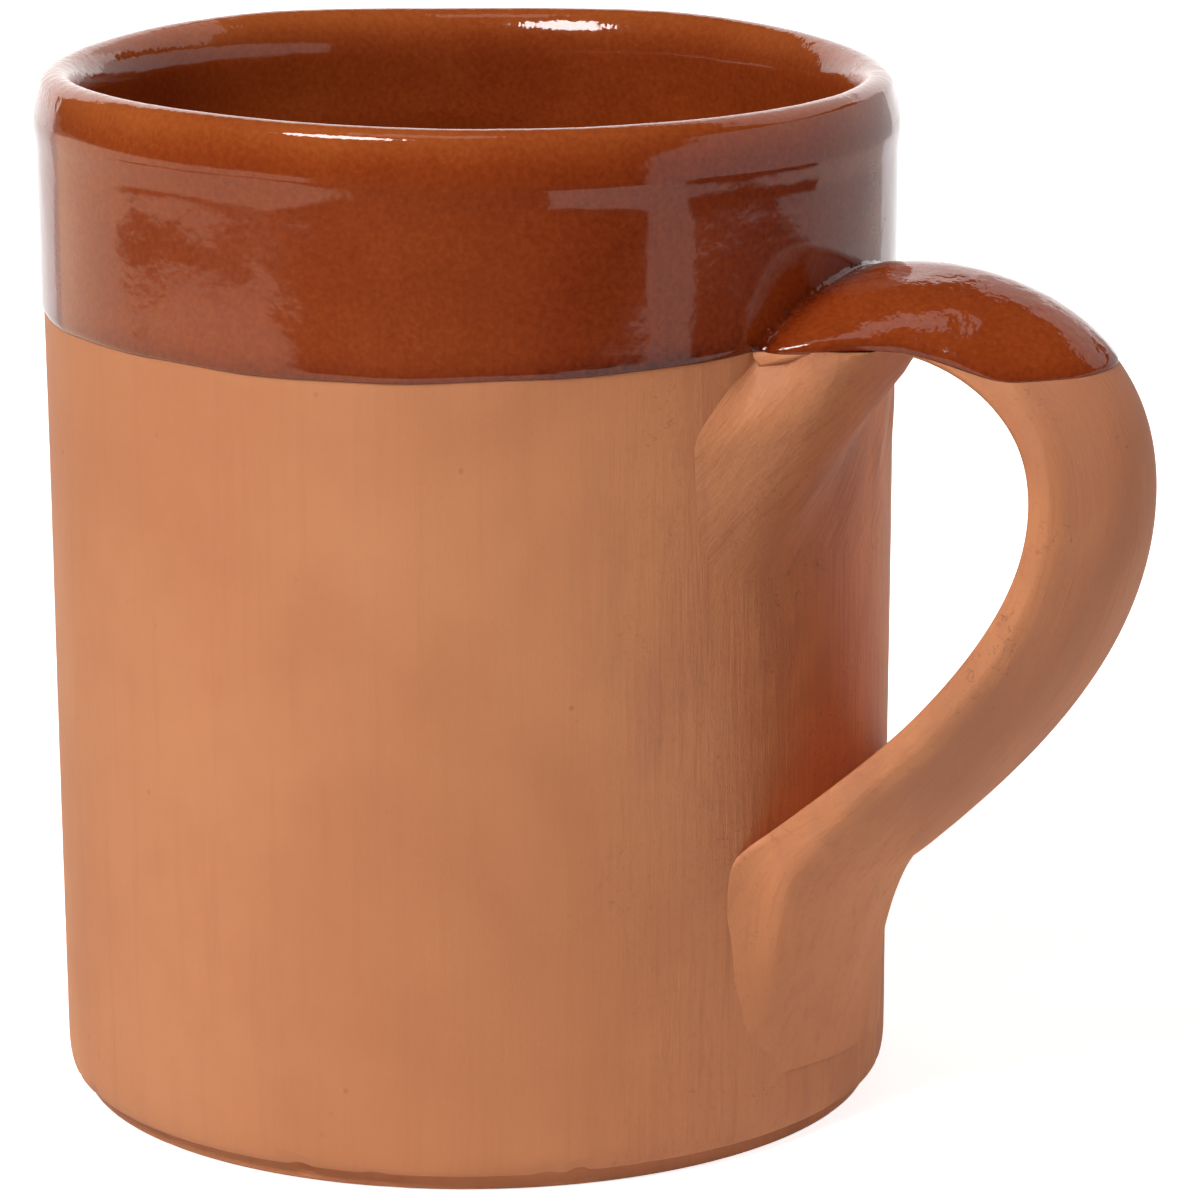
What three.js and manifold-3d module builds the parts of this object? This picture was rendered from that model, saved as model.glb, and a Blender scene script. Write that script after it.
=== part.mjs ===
// Hand-thrown coffee mug of red earthenware with a pulled strap handle and a dipped brown glaze.
// Millimetres, +Z up. The origin is the centre of the foot's underside and the handle points along +X.
import * as THREE from 'three';
import { mergeVertices } from 'three/addons/utils/BufferGeometryUtils.js';
import Module from 'manifold-3d';

const wasm = await Module();
wasm.setup();

// Thrown body, bare clay
const bodyHeight = 101.6;
const baseRadius = 41.2;
const wallFlare = 0.55;
const wallThickness = 5;
const floorThickness = 6;
const innerRounding = 8;
const cornerInset = 0.6;
const cornerRise = 3;
const footInset = 1.7;
const footStep = 1.8;

// Handle path, in the upright plane through the mug's axis
const upperRootDrop = 22.8;
const upperRootRise = 19.2;
const rootEmbed = 6;
const bowReach = 23.7;
const bowDrop = 12.75;
const shoulderPull = 7.5;
const bowPullUp = 14.2;
const bowPullDown = 12.8;
const armPull = 12.8;
const lowerRootHeight = 33.2;
const lowerRootStandoff = 2.7;
const armSlope = 45;
const tailPull = 6;
const tailTipHeight = 8;
const tailTipPull = 8;
const tailSink = 1.2;

// Handle section: width across, crown of the outer face, thickness at the edges
const rootWidth = 31;
const shoulderWidth = 19.5;
const bowWidth = 20.2;
const armWidth = 23.5;
const spreadWidth = 31;
const tailWidth = 31;
const tailTipWidth = 24;
const rootCrown = 4;
const bowCrown = 5.2;
const armCrown = 5.3;
const tailCrown = 1.6;
const edgeThickness = 3.4;
const tailEdgeThickness = 2;
const innerHollow = 0.5;

// Squareness of the section's face and edges, and where along the runs the tail starts to hug the wall
const faceSquareness = 0.8;
const edgeSquareness = 0.6;
const hugStart = 1.6;
const hugEnd = 2.3;

// Twist of the tail's face: its fall per millimetre across the strap, where along the runs it comes in
// and goes out, and how softly it goes over into the untwisted back
const tailTwist = 0.15;
const twistStart = 1.8;
const twistFull = 2.1;
const twistFade = 2.5;
const twistEnd = 3;
const twistSoftness = 0.3;

// Clay worked in under the upper root: its reach along the strap and at its side edges, how thick it lies
// on the wall, its height, and how far it spills past the root's edges at its top and at its foot
const coilReach = 9;
const coilEdge = 0.1;
const coilThickness = 7;
const coilHeight = 23;
const coilSpillTop = 0.5;
const coilSpillFoot = 6.5;

// Where round the wall, in millimetres from the strap's middle, the coil thins out and is gone
const coilThinStart = -2;
const coilThinEnd = 6;

// Share of the coil's height in which it leaves the strap, share of its width where its flanks start,
// and the powers of its outline under the strap and of its fade down the wall
const coilLeave = 0.35;
const coilFlank = 0.5;
const coilSquareness = 4;
const coilFade = 1.3;

// Slip, glaze and clearances
const slipThickness = 0.6;
const glazeThickness = 0.3;
const glazeSeat = 0.05;
const jointGap = 0.3;

// Glaze dip: depth of its line below the rim at the axis, its rise per millimetre along X and Y,
// and its fall per millimetre along X where the glaze ran down the bow of the handle
const bandDepth = 21.6;
const dipRiseX = 0.005;
const dipRiseY = 0.0386;
const bowRun = 0.2;

// Facets
const turnSegments = 56;
const sectionSides = 26;
const pathSteps = 13;
const arcSteps = 5;
const coilSteps = 8;
const mergeDistance = 1e-4;

// Angles on the rim's round, in degrees
const rimOuter = 0;
const rimCrest = 90;
const rimInner = 180;

const clayColour = 0xb06e4a;
const slipColour = 0xa0623f;
const glazeColour = 0x7a3012;
const clayRoughness = 0.85;
const glazeRoughness = 0.15;

const rimRadius = baseRadius + wallFlare;
const rimRound = wallThickness / 2;
const wallTop = bodyHeight - rimRound;
const wallFoot = footStep + cornerRise;
const footRadius = baseRadius - footInset;
const upperRootHeight = bodyHeight - upperRootDrop;
const dipHeight = bodyHeight - bandDepth;

function wallRadius(z) {
  const share = (z - wallFoot) / (wallTop - wallFoot);
  return baseRadius + wallFlare * share;
}

// Points of an elliptic arc in the (radius, height) plane, ends included, angles in degrees.
function arc(centreR, centreZ, radiusR, radiusZ, fromDeg, toDeg) {
  const curve = new THREE.EllipseCurve(
    centreR, centreZ, radiusR, radiusZ,
    THREE.MathUtils.degToRad(fromDeg), THREE.MathUtils.degToRad(toDeg), toDeg < fromDeg,
  );
  return curve.getPoints(arcSteps);
}

// Outside of the clay from the foot's edge up to the wall's top, grown outwards by an offset.
function outsideProfile(offset) {
  const corner = arc(baseRadius - cornerInset, wallFoot, cornerInset + offset, cornerRise, -90, 0);
  return [
    new THREE.Vector2(footRadius + offset, 0),
    new THREE.Vector2(footRadius + offset, footStep),
    ...corner,
    new THREE.Vector2(rimRadius + offset, wallTop),
  ];
}

// Inside of the clay from the wall's top down to the axis, moved inwards and up by an offset.
function insideProfile(offset) {
  const innerTop = rimRadius - wallThickness;
  const innerFoot = wallRadius(floorThickness + innerRounding) - wallThickness;
  const corner = arc(
    innerFoot - innerRounding, floorThickness + innerRounding,
    innerRounding - offset, innerRounding - offset, 0, -90,
  );
  return [
    new THREE.Vector2(innerTop - offset, wallTop),
    ...corner,
    new THREE.Vector2(0, floorThickness + offset),
  ];
}

// Half of the rim's round, from fromDeg to toDeg, for a rim grown by an offset.
function rimArc(offset, fromDeg, toDeg) {
  return arc(rimRadius - rimRound, wallTop, rimRound + offset, rimRound + offset, fromDeg, toDeg);
}

// Turns a profile about the mug's axis.
function turn(profile) {
  return new THREE.LatheGeometry(profile, turnSegments).rotateX(Math.PI / 2);
}

// Skins a row of rings with equal point counts, each ring turning right-handed about the row's way.
// An open row is closed by a fan at each end.
function skin(rings, closedRow) {
  const sides = rings[0].length;
  const positions = rings.flat().flatMap((point) => point.toArray());
  const index = [];
  const rowCount = closedRow ? rings.length : rings.length - 1;
  for (let row = 0; row < rowCount; row += 1) {
    const here = row * sides;
    const next = ((row + 1) % rings.length) * sides;
    for (let side = 0; side < sides; side += 1) {
      const beside = (side + 1) % sides;
      index.push(here + side, next + beside, next + side);
      index.push(here + side, here + beside, next + beside);
    }
  }
  if (!closedRow) {
    const last = (rings.length - 1) * sides;
    for (let side = 1; side < sides - 1; side += 1) {
      index.push(0, side + 1, side);
      index.push(last, last + side, last + side + 1);
    }
  }
  const geometry = new THREE.BufferGeometry();
  geometry.setAttribute('position', new THREE.Float32BufferAttribute(positions, 3));
  geometry.setIndex(index);
  return geometry;
}

function toSolid(geometry) {
  const bare = geometry.clone();
  bare.deleteAttribute('normal');
  bare.deleteAttribute('uv');
  const merged = mergeVertices(bare, mergeDistance);
  const corners = merged.index.array;
  const kept = [];
  for (let i = 0; i < corners.length; i += 3) {
    const [a, b, c] = [corners[i], corners[i + 1], corners[i + 2]];
    if (a !== b && b !== c && c !== a) kept.push(a, b, c);
  }
  return new wasm.Manifold(new wasm.Mesh({
    numProp: 3,
    vertProperties: new Float32Array(merged.attributes.position.array),
    triVerts: new Uint32Array(kept),
  }));
}

function toGeometry(solid) {
  const mesh = solid.getMesh();
  const geometry = new THREE.BufferGeometry();
  geometry.setAttribute('position', new THREE.BufferAttribute(new Float32Array(mesh.vertProperties), 3));
  geometry.setIndex(new THREE.BufferAttribute(new Uint32Array(mesh.triVerts), 1));
  geometry.computeVertexNormals();
  return geometry;
}

// Solid of everything inside the outer wall, grown by an offset, used to trim pieces that lie on it.
function wallSolid(offset) {
  const outside = outsideProfile(offset);
  const top = new THREE.Vector2(0, wallTop);
  return toSolid(turn([new THREE.Vector2(0, 0), ...outside, top]));
}

// Smooth value through equally spaced knots, at place 0 to 1 along them.
function through(knots, place) {
  const spline = new THREE.SplineCurve(knots.map((value, i) => new THREE.Vector2(i, value)));
  return spline.getPoint(THREE.MathUtils.clamp(place, 0, 1)).y;
}

// Handle centre line in (radius, height): root to bow, bow to lower root, lower root to tail tip.
const upperRoot = new THREE.Vector2(wallRadius(upperRootHeight), upperRootHeight);
const riseAngle = THREE.MathUtils.degToRad(upperRootRise);
const upperWay = new THREE.Vector2(Math.cos(riseAngle), Math.sin(riseAngle));
const slopeAngle = THREE.MathUtils.degToRad(armSlope);
const lowerWay = new THREE.Vector2(-Math.sin(slopeAngle), -Math.cos(slopeAngle));
const bow = new THREE.Vector2(upperRoot.x + bowReach, upperRootHeight - bowDrop);
const lowerRoot = new THREE.Vector2(wallRadius(lowerRootHeight) + lowerRootStandoff, lowerRootHeight);
const tailTip = new THREE.Vector2(wallRadius(tailTipHeight) - tailSink, tailTipHeight);
const reachAlong = (from, way, length) => from.clone().addScaledVector(way, length);
const upwards = new THREE.Vector2(0, 1);
const handleRuns = [
  new THREE.CubicBezierCurve(
    upperRoot, reachAlong(upperRoot, upperWay, shoulderPull), reachAlong(bow, upwards, bowPullUp), bow,
  ),
  new THREE.CubicBezierCurve(
    bow, reachAlong(bow, upwards, -bowPullDown), reachAlong(lowerRoot, lowerWay, -armPull), lowerRoot,
  ),
  new THREE.CubicBezierCurve(
    lowerRoot, reachAlong(lowerRoot, lowerWay, tailPull), reachAlong(tailTip, upwards, tailTipPull), tailTip,
  ),
];

// One ring of the handle around a place on the centre line. run counts 0 to 3 along the handle.
function handleRing(place, way, run, grow) {
  const share = run / handleRuns.length;
  const halfWidth = through(
    [rootWidth, shoulderWidth, bowWidth, armWidth, spreadWidth, tailWidth, tailTipWidth], share,
  ) / 2 + grow;
  const crown = through([rootCrown, bowCrown, armCrown, tailCrown], share);
  const halfEdge = through(
    [edgeThickness, edgeThickness, edgeThickness, tailEdgeThickness], share,
  ) / 2 + grow;
  const hug = THREE.MathUtils.smoothstep(run, hugStart, hugEnd);
  const twistIn = THREE.MathUtils.smoothstep(run, twistStart, twistFull);
  const twistOut = THREE.MathUtils.smoothstep(run, twistFade, twistEnd);
  const twist = tailTwist * (twistIn - twistOut);
  const away = new THREE.Vector2(-way.y, way.x);
  const ring = [];
  for (let side = 0; side < sectionSides; side += 1) {
    const angle = (2 * Math.PI * side) / sectionSides;
    const across = Math.sign(Math.cos(angle)) * Math.abs(Math.cos(angle)) ** faceSquareness;
    const edge = halfEdge * Math.abs(Math.sin(angle)) ** edgeSquareness;
    const bulge = 1 - across * across;
    const sideways = halfWidth * across;
    const faceShare = THREE.MathUtils.smoothstep(Math.sin(angle), -twistSoftness, twistSoftness);
    const straight = Math.sin(angle) >= 0 ? edge + crown * bulge : innerHollow * bulge - edge;
    const lift = straight - faceShare * twist * sideways;
    const drop = baseRadius - Math.sqrt(baseRadius ** 2 - sideways ** 2);
    ring.push(new THREE.Vector3(
      place.x + lift * away.x - hug * drop,
      sideways,
      place.y + lift * away.y,
    ));
  }
  return ring;
}

// Handle as a solid that runs on into the wall at its upper root, grown by an offset.
function handleSolid(grow) {
  const rings = [handleRing(reachAlong(upperRoot, upperWay, -rootEmbed), upperWay, 0, grow)];
  handleRuns.forEach((curve, run) => {
    for (let step = run === 0 ? 0 : 1; step <= pathSteps; step += 1) {
      const t = step / pathSteps;
      rings.push(handleRing(curve.getPoint(t), curve.getTangent(t), run + t, grow));
    }
  });
  return toSolid(skin(rings, false));
}

// Block above or below a plane through (0, 0, height) that rises along X and Y.
function halfSpace(height, riseX, riseY, above) {
  const size = 4 * (bodyHeight + rimRadius);
  const block = new THREE.BoxGeometry(size, size, size);
  block.translate(0, 0, above ? size / 2 : -size / 2);
  const normal = new THREE.Vector3(-riseX, -riseY, 1).normalize();
  block.applyQuaternion(new THREE.Quaternion().setFromUnitVectors(new THREE.Vector3(0, 0, 1), normal));
  return toSolid(block.translate(0, 0, height));
}

function thrownBody() {
  return turn([
    new THREE.Vector2(0, 0),
    ...outsideProfile(0),
    ...rimArc(0, rimOuter, rimCrest).slice(1),
    ...rimArc(0, rimCrest, rimInner).slice(1, -1),
    ...insideProfile(0),
  ]);
}

const slipInside = jointGap;
const slipOutside = slipInside + slipThickness;
const handleStart = slipOutside + jointGap;
const glazeOutside = glazeSeat + glazeThickness;
const rimSeam = THREE.MathUtils.radToDeg(jointGap / 2 / rimRound);

function pulledHandle() {
  return toGeometry(handleSolid(0).subtract(wallSolid(handleStart)));
}

// Slip fills the space between wall and root, under the root's own footprint.
function slipJoint(above) {
  const handle = handleSolid(0);
  const pressed = handle.subtract(wallSolid(handleStart)).translate(slipInside - handleStart, 0, 0);
  const layer = pressed.intersect(handle).intersect(wallSolid(slipOutside)).subtract(wallSolid(slipInside));
  return toGeometry(layer.intersect(halfSpace(bow.y, 0, 0, above)));
}

// Clay under the upper root: an apron that leaves the strap's underside and thins out down the wall.
function upperJointCoil() {
  const shoulder = handleRuns[0];
  const back = reachAlong(upperRoot, upperWay, -rootEmbed);
  const foot = new THREE.Vector2(back.x, upperRootHeight - coilHeight);
  const halfTop = rootWidth / 2 + coilSpillTop;
  const halfFoot = rootWidth / 2 + coilSpillFoot;
  const rings = [];
  for (let step = 0; step <= 2 * coilSteps; step += 1) {
    const side = step / coilSteps - 1;
    const near = 1 - THREE.MathUtils.smoothstep(side * halfTop, coilThinStart, coilThinEnd);
    const square = 1 - Math.abs(side) ** coilSquareness;
    const flank = 1 - THREE.MathUtils.smoothstep(Math.abs(side), coilFlank, 1);
    const reach = THREE.MathUtils.lerp(coilEdge, coilReach, near * square);
    const onWall = coilThickness * near * flank;
    const around = (point, share) => {
      const spread = THREE.MathUtils.smoothstep(share, 0, coilLeave);
      const angle = (side * THREE.MathUtils.lerp(halfTop, halfFoot, spread)) / upperRoot.x;
      return new THREE.Vector3(point.x * Math.cos(angle), point.x * Math.sin(angle), point.y);
    };
    const ring = [around(back, 0)];
    for (let part = 0; part <= arcSteps; part += 1) {
      ring.push(around(shoulder.getPointAt((reach * part) / arcSteps / shoulder.getLength()), 0));
    }
    const strapEnd = shoulder.getPointAt(reach / shoulder.getLength());
    for (let part = 1; part <= coilSteps; part += 1) {
      const share = part / coilSteps;
      const leave = THREE.MathUtils.smoothstep(share, 0, coilLeave);
      const stand = THREE.MathUtils.lerp(reach, onWall, leave) * (1 - share) ** coilFade;
      const level = THREE.MathUtils.lerp(strapEnd.y, foot.y, share);
      ring.push(around(new THREE.Vector2(wallRadius(level) + stand, level), share));
    }
    ring.push(around(foot, 1));
    rings.push(ring);
  }
  const belowDip = halfSpace(dipHeight - jointGap, dipRiseX, dipRiseY, false);
  const apron = toSolid(skin(rings, false)).intersect(belowDip);
  return toGeometry(apron.subtract(wallSolid(jointGap)).subtract(handleSolid(jointGap)));
}

// Glaze inside the cup, up to the middle of the rim.
function linerGlaze() {
  const top = rimCrest + rimSeam;
  const near = [...rimArc(glazeSeat, top, rimInner).slice(0, -1), ...insideProfile(glazeSeat)];
  const far = [...rimArc(glazeOutside, top, rimInner).slice(0, -1), ...insideProfile(glazeOutside)];
  return turn([...far, ...near.reverse(), far[0]]);
}

// Glaze over the outer half of the rim and down to the tilted dip line, cut away round the handle.
function bandGlaze() {
  const rings = [];
  for (let step = 0; step < turnSegments; step += 1) {
    const angle = (2 * Math.PI * step) / turnSegments;
    const outward = new THREE.Vector2(Math.cos(angle), Math.sin(angle));
    const dip = dipHeight + wallRadius(dipHeight) * (dipRiseX * outward.x + dipRiseY * outward.y);
    const wallAt = wallRadius(dip);
    const outline = [
      new THREE.Vector2(wallAt + glazeSeat, dip),
      ...rimArc(glazeSeat, rimOuter, rimCrest - rimSeam),
      ...rimArc(glazeOutside, rimCrest - rimSeam, rimOuter),
      new THREE.Vector2(wallAt + glazeOutside, dip + glazeThickness),
    ];
    rings.push(outline.map((p) => new THREE.Vector3(p.x * outward.x, p.x * outward.y, p.y)));
  }
  const clear = handleSolid(glazeOutside + jointGap);
  return toGeometry(toSolid(skin(rings, true)).subtract(clear));
}

// Glaze over the part of the handle that went under the dip line, and the run of it beyond the coil.
function handleGlaze() {
  const coat = handleSolid(glazeOutside).subtract(handleSolid(glazeSeat));
  const runStart = upperRoot.x + coilReach;
  const dipped = halfSpace(dipHeight, dipRiseX, dipRiseY, true);
  const ran = halfSpace(dipHeight + bowRun * runStart, dipRiseX - bowRun, dipRiseY, true);
  return toGeometry(coat.intersect(dipped.add(ran)).subtract(wallSolid(glazeOutside + jointGap)));
}

function piece(name, geometry, color, roughness) {
  const mesh = new THREE.Mesh(geometry, new THREE.MeshStandardMaterial({ color, roughness, metalness: 0 }));
  mesh.name = name;
  return mesh;
}

const mug = new THREE.Group();
mug.name = 'coffee_mug';
mug.add(piece('thrown_body', thrownBody(), clayColour, clayRoughness));
mug.add(piece('pulled_handle', pulledHandle(), clayColour, clayRoughness));
mug.add(piece('upper_slip_joint', slipJoint(true), slipColour, clayRoughness));
mug.add(piece('lower_slip_joint', slipJoint(false), slipColour, clayRoughness));
mug.add(piece('upper_joint_coil', upperJointCoil(), clayColour, clayRoughness));
mug.add(piece('liner_glaze', linerGlaze(), glazeColour, glazeRoughness));
mug.add(piece('band_glaze', bandGlaze(), glazeColour, glazeRoughness));
mug.add(piece('handle_glaze', handleGlaze(), glazeColour, glazeRoughness));

export default mug;
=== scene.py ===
"""Looks of a hand-thrown coffee mug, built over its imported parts.

Lengths are millimetres until a mesh is made. The handle points along +X and +Z is up.
"""

import math

import bmesh
import bpy
import numpy as np
from mathutils import Matrix, Vector


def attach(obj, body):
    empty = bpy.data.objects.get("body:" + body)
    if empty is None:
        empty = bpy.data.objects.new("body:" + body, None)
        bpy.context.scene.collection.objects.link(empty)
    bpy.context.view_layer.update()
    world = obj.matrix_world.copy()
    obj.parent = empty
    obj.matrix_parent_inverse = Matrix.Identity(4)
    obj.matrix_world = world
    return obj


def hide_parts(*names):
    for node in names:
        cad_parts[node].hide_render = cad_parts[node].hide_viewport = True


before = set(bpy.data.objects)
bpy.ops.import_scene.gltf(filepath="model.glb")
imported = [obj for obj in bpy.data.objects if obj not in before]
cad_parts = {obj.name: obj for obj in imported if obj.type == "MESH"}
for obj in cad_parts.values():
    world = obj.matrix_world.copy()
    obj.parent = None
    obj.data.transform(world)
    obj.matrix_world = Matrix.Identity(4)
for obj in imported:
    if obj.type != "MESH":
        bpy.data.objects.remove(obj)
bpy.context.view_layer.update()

MM = 0.001
SHARP_ANGLE = math.radians(55)

# Thrown body, bare clay
BODY_HEIGHT = 101.6
BASE_RADIUS = 41.2
WALL_FLARE = 0.55
WALL_THICKNESS = 5.0
FLOOR_THICKNESS = 6.0
INNER_ROUNDING = 8.0
FOOT_INSET = 1.7
FOOT_STEP = 1.8
CORNER_INSET = 0.6
CORNER_RISE = 3.0
FOOT_BEVEL = 0.3

# Lip: how its outer face turns over, as degrees at millimetres up the face, how far below the crest the inner
# face starts to turn, its flare and the groove under it
LIP_TURN = ((0.0, 0.0), (0.6, 8.0), (1.6, 16.0), (4.4, 19.0), (4.8, 45.0), (6.3, 90.0))
LIP_INNER = 4.8
LIP_FLARE = 0.5
LIP_FLARE_DEPTH = 9.0
GROOVE_DEPTH = 0.05
GROOVE_DROP = 6.8
GROOVE_WIDTH = 1.3

# Handle path, in the upright plane through the mug's axis
UPPER_ROOT_DROP = 22.8
UPPER_ROOT_RISE = math.radians(19.2)
ROOT_EMBED = 2.5
BOW_REACH = 23.7
BOW_DROP = 12.75
SHOULDER_PULL = 7.5
BOW_PULL_UP = 14.2
BOW_PULL_DOWN = 12.8
ARM_PULL = 12.8
LOWER_ROOT_HEIGHT = 33.2
LOWER_ROOT_STANDOFF = 2.7
ARM_SLOPE = math.radians(45)
TAIL_PULL = 6.0
TAIL_TIP_HEIGHT = 8.0
TAIL_TIP_PULL = 8.0
TAIL_SINK = 1.2

# Handle section along its length: width, crown of the outer face, thickness at the edges
STRAP_WIDTHS = (31.0, 19.5, 20.2, 23.5, 31.0, 31.0, 24.0)
STRAP_CROWNS = (4.0, 5.2, 5.3, 1.6)
STRAP_EDGES = (3.4, 3.4, 3.4, 2.0)
INNER_HOLLOW = 0.5
FACE_SQUARENESS = 0.8
EDGE_SQUARENESS = 0.28
HUG_START = 1.6
HUG_END = 2.3
TAIL_TWIST = 0.15
TWIST_START = 1.8
TWIST_END = 2.1
TWIST_SOFTNESS = 0.3
ROOT_FILLET = 1.1
TAIL_FILLET = 3.0
FILLET_CHANGE = (1.9, 2.3)
ROOT_SINK = 0.6

# Hand finish of the strap: rounds of rubbing on the tail and the runs in which they start and stop, and how far
# the underside's edges are tucked up at the root, with the depths, runs and half-widths in which that sets in
TAIL_RUBBING = 60
RUBBING_STARTS = (1.65, 1.85)
RUBBING_STOPS = (2.95, 2.7)
EDGE_TUCK = 1.3
TUCK_DEPTHS = (1.6, -1.7)
TUCK_RUNS = (0.8, 0.3)
TUCK_HALF_WIDTHS = (3.0, 9.0)
STRAP_SIDES = 160
STRAP_RUNS = np.concatenate([
    np.linspace(-1, -0.2, 5), np.linspace(-0.2, 0.3, 61)[1:], np.linspace(0.3, 3, 251)[1:],
])

# Clay worked from under the upper root down onto the wall, as an apron: height, half-widths round the wall at
# its top and foot, the share of its height in which it spreads, where its flanks end, how it fades downwards,
# how far it stands off the wall, where round the wall it thins out, and how that slants to the near side
APRON_HEIGHT = 23.0
APRON_HALF_TOP = 18.0
APRON_HALF_FOOT = 23.0
APRON_SPREAD = 0.35
APRON_FLANK = 0.5
APRON_FADE = 1.4
APRON_THICK = 9.0
APRON_DEPTH = 9.0
APRON_SINK = 0.04
APRON_THIN_START = -2.0
APRON_THIN_END = 6.0
APRON_THIN = 0.92
APRON_RUBBING = 160
APRON_SLANT = 20.0
APRON_SLANT_START = 0.16

# Glaze: thickness, how deep it sits in the clay, its edge, and its dip line with the waves in it
GLAZE = 0.28
GLAZE_SEAT = 0.05
GLAZE_EDGE = 0.8
GLAZE_BITE = 0.01
EDGE_LEVELS = (0.0, 0.06, 0.14, 0.25, 0.4, 0.6, GLAZE_EDGE)
GLAZE_COLUMNS = 360
DIP_DEPTH = 21.6
DIP_RISE_X = 0.005
DIP_RISE_Y = 0.0386
DIP_WOBBLE = ((0.16, 3, 0.7), (0.09, 7, 2.1), (0.05, 17, 0.0))
HANDLE_SAG = 2.6
HANDLE_SAG_START = 50.0
HANDLE_SAG_END = 63.0
HANDLE_GLAZE_END = 0.85

# How the hand-made form leaves the true one: the rim's fall to the right and rise away from the viewer,
# its saddle and three-sided waves, its dip at the far side, and how the cup leans and is out of round
RIM_FALL = 0.0103
RIM_RISE = 0.0097
RIM_SADDLE = (-0.46, 0.09)
RIM_WAVE = (0.03, -0.24)
RIM_DIP = 1.49
RIM_DIP_WIDTH = 0.52
RIM_WARP_START = 70.0
LEAN = 0.06
OVAL = 0.18

# Camera: turn round the mug from -Y towards the handle, distance, height and pointing, and focal length in
# image widths
VIEW_TURN = math.radians(29)
VIEW_DISTANCE = 550.96
VIEW_HEIGHT = 185.07
VIEW_PITCH = 0.2442
VIEW_YAW = 0.0229
VIEW_ROLL = -0.0041
VIEW_FOCUS = 5699.6 / 1200

WALL_TOP = BODY_HEIGHT - WALL_THICKNESS / 2
WALL_FOOT = FOOT_STEP + CORNER_RISE
FOOT_RADIUS = BASE_RADIUS - FOOT_INSET
UPPER_ROOT_HEIGHT = BODY_HEIGHT - UPPER_ROOT_DROP
DIP_HEIGHT = BODY_HEIGHT - DIP_DEPTH

# Clay tones: pale, warm, deep and dull; dull is also the painted shade on the strap's outer face
CLAY_TONES = ((0.60, 0.236, 0.096), (0.545, 0.202, 0.080), (0.45, 0.153, 0.062), (0.42, 0.158, 0.076))

# Table: how far below the foot it lies, so that the two don't flicker, and its half size
TABLE_DROP = 0.05
TABLE_REACH = 2500

# Pale cards that only the glaze's reflections see, in the viewer's millimetres: name, glow, tint, corners
CARDS = (
    ("left_card", 1.6, (1.0, 0.76, 0.58), [
        (-2400, -2400, 1), (-40, -2400, 1), (-40, 40, 1), (-790, 790, 1), (-2400, 790, 1),
    ]),
    ("far_card", 1.4, (1.0, 1.0, 1.0), [(20, 45, 1), (690, 790, 1), (-690, 790, 1), (-20, 45, 1)]),
    ("right_card", 0.85, (1.0, 1.0, 1.0), [(505, -480, 0), (522, -56, 0), (522, -56, 250), (505, -480, 250)]),
    ("right_far_card", 0.8, (1.0, 1.0, 1.0), [(522, -56, 0), (330, 520, 0), (330, 520, 250), (522, -56, 250)]),
    ("top_card", 1.2, (1.0, 1.0, 1.0), [(-220, -190, 900), (80, -190, 900), (80, 40, 900), (-220, 40, 900)]),
    ("high_card", 0.9, (1.0, 1.0, 1.0), [(821, 62, 400), (203, 798, 400), (203, 798, 950), (821, 62, 950)]),
)

VIEW_RIGHT = np.array([math.cos(VIEW_TURN), math.sin(VIEW_TURN), 0.0])
VIEW_AWAY = np.array([-math.sin(VIEW_TURN), math.cos(VIEW_TURN), 0.0])
UPWARDS = np.array([0.0, 0.0, 1.0])


def ease(low, high, value):
    """Smooth step from 0 at low to 1 at high."""
    share = np.clip((value - low) / (high - low), 0, 1)
    return share * share * (3 - 2 * share)


def waves(points, length, seed, count=28):
    """Smooth uneven field of about unit height, with swells about one length across."""
    rng = np.random.default_rng(seed)
    ways = rng.normal(size=(count, points.shape[-1]))
    ways /= np.linalg.norm(ways, axis=1, keepdims=True)
    ways *= (2 * math.pi / length) * rng.uniform(0.55, 1.45, (count, 1))
    phases = rng.uniform(0, 2 * math.pi, count)
    return np.sin(points @ ways.T + phases).sum(axis=-1) * math.sqrt(2 / count)


def wall_radius(z):
    """Radius of the plain outer wall."""
    return BASE_RADIUS + WALL_FLARE * (z - WALL_FOOT) / (WALL_TOP - WALL_FOOT)


def outside(z):
    """Radius of the outer wall with the flare of its lip and the groove under it."""
    flare = LIP_FLARE * ease(BODY_HEIGHT - LIP_FLARE_DEPTH, BODY_HEIGHT, z)
    groove = GROOVE_DEPTH * np.exp(-(((z - BODY_HEIGHT + GROOVE_DROP) / GROOVE_WIDTH) ** 2))
    return wall_radius(z) + flare - groove


def dip_line(x, y):
    """Height of the glaze's edge over a place on the mug."""
    around = np.arctan2(y, x)
    wobble = sum(height * np.sin(count * around + phase) for height, count, phase in DIP_WOBBLE)
    sag = HANDLE_SAG * ease(HANDLE_SAG_START, HANDLE_SAG_END, x)
    return DIP_HEIGHT + DIP_RISE_X * x + DIP_RISE_Y * y + wobble - sag


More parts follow.
